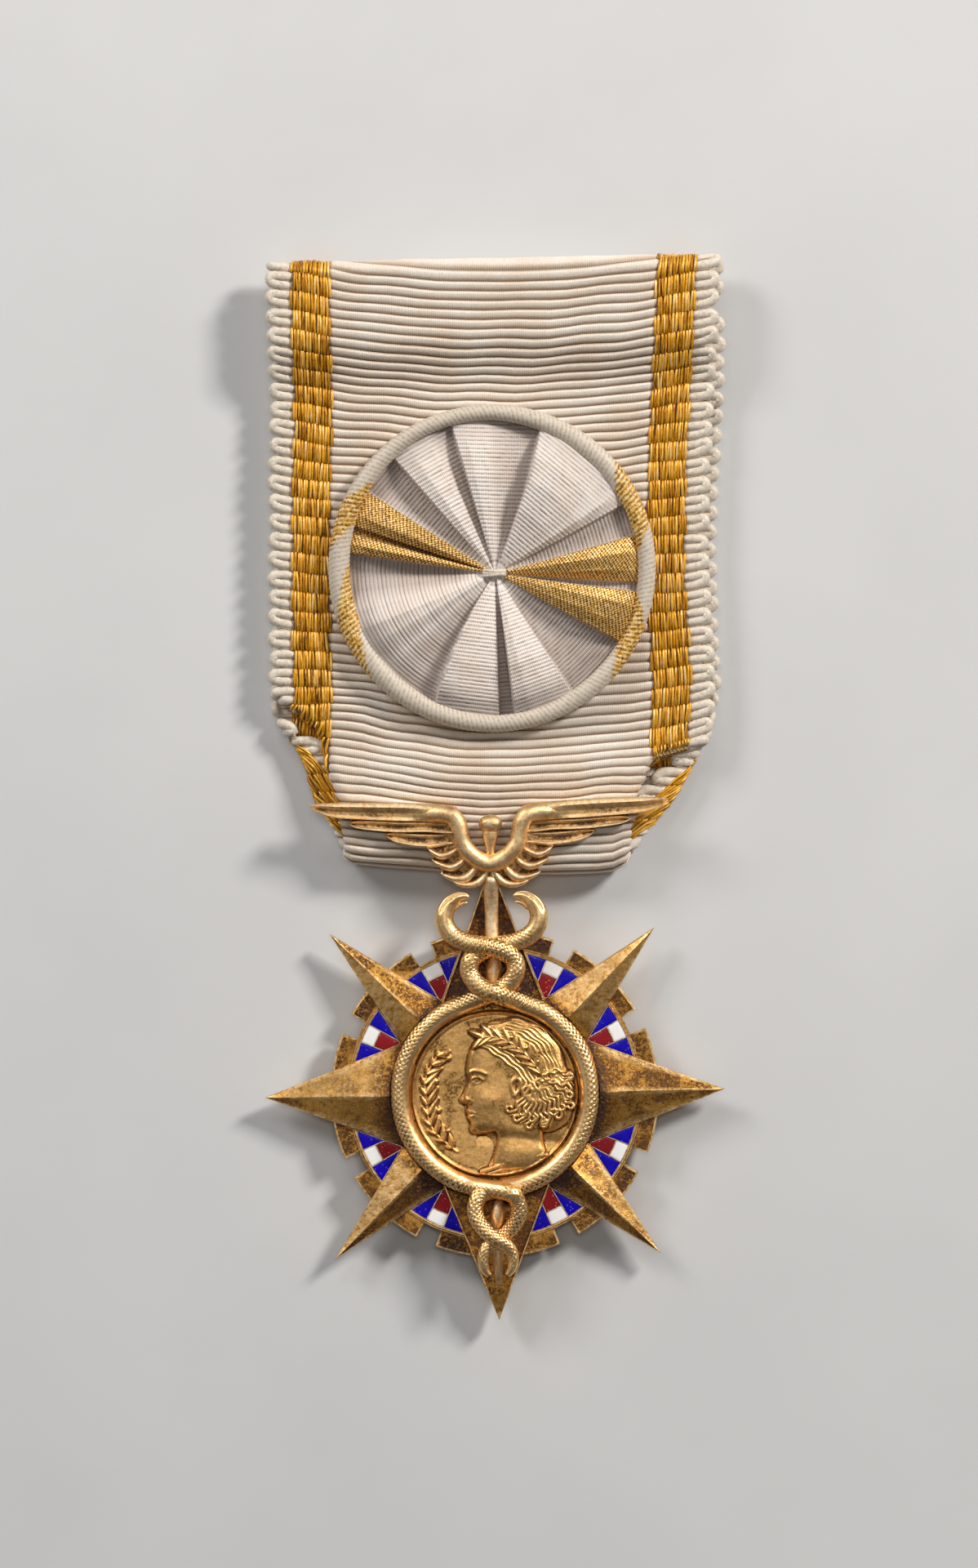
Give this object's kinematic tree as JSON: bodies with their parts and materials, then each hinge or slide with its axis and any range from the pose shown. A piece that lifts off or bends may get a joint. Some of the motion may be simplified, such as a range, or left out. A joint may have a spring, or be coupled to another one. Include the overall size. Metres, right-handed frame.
{
  "type": "order badge",
  "caption": "Officer's order badge lying front up: gilt rayed star with enamel, winged staff with snakes, relief medallion, folded ribbon with pleated rosette.",
  "frame": {"origin": "under the middle of the whole badge, on the surface that it lies on", "axes": "+Z out of the badge's front, +Y from the star towards the ribbon's upper fold, +X to the right"},
  "size_m": [0.0396, 0.0888, 0.0052],
  "materials": {
    "gilt_metal": "satin",
    "gilt_relief": "satin",
    "enamel_blue": "gloss",
    "enamel_white": "gloss",
    "enamel_red": "gloss",
    "ribbon_cloth": "satin",
    "rosette_cloth": "satin",
    "pin_metal": "satin"
  },
  "bodies": {
    "root": {"star_body": "gilt_metal", "enamel_blue": "enamel_blue", "enamel_white": "enamel_white", "enamel_red": "enamel_red", "reverse_disc": "gilt_metal", "medallion": "gilt_relief", "caduceus": "gilt_relief", "suspension_bar": "gilt_metal", "ribbon": "ribbon_cloth", "rosette_fan": "rosette_cloth", "rosette_ring": "rosette_cloth", "brooch_pin": "pin_metal"}
  },
  "joints": []
}
